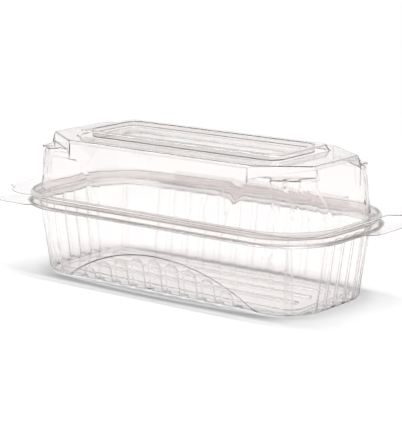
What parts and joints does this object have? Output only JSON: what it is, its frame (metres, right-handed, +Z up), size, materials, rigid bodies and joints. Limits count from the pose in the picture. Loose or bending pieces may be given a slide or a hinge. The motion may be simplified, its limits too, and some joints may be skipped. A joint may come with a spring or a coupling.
{
  "type": "hinged clear plastic pack",
  "caption": "Clear hinged clamshell pack: a long tapered tray with grooved walls and an arched front, and a domed lid with cut corners, a sunk label panel and corner pull tabs.",
  "frame": {"origin": "centre of the closed pack's footprint, on the surface that it rests on; the footprint includes the tabs and the hinge", "axes": "+X along the long side, to the right as seen from the front; +Y from the front to the hinge; +Z up"},
  "size_m": [0.262, 0.1237, 0.0948],
  "materials": {
    "tray_sheet": "clear, gloss",
    "lid_sheet": "clear, gloss"
  },
  "bodies": {
    "tray": {"tray": "tray_sheet"},
    "lid": {"lid": "lid_sheet"}
  },
  "joints": [
    {"name": "lid_hinge", "type": "hinge", "parent": "tray", "child": "lid", "pos_m": [0, 0.06115, 0.0541], "axis": [-1, 0, 0], "range_deg": [0, 180]}
  ]
}
